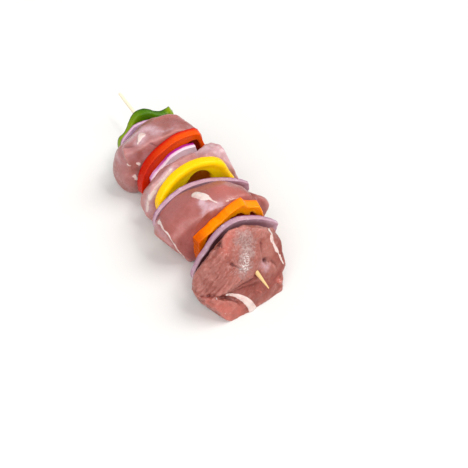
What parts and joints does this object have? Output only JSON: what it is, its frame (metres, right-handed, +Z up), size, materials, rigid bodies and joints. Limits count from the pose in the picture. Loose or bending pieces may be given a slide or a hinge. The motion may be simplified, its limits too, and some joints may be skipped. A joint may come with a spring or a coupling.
{
  "type": "raw pork kebab skewer",
  "caption": "Raw kebab: a pointed bamboo skewer through pork chunks, sweet pepper pieces and red onion petals, lying on its side.",
  "frame": {"origin": "middle of the underside of the whole kebab's box, on the plane that it rests on", "axes": "+X along the skewer towards its point, +Z up, the side that shows turned up"},
  "size_m": [0.254, 0.077, 0.0498],
  "materials": {
    "bamboo": "bare fine-grained bamboo, matte",
    "pork": "moist raw meat, satin with small wet highlights",
    "onion": "moist onion flesh with a purple skin side",
    "green_pepper": "glossy pepper skin",
    "red_pepper": "glossy pepper skin with orange-red flesh",
    "yellow_pepper": "glossy pepper skin with yellow flesh",
    "orange_pepper": "glossy pepper skin with orange flesh"
  },
  "bodies": {
    "root": {"skewer": "bamboo", "pepper_green": "green_pepper", "onion_back": "onion", "pork_back": "pork", "pepper_red": "red_pepper", "onion_short": "onion", "pork_thin": "pork", "pepper_yellow": "yellow_pepper", "onion_middle": "onion", "pork_middle": "pork", "pepper_orange": "orange_pepper", "onion_front": "onion", "pork_front": "pork"}
  },
  "joints": []
}
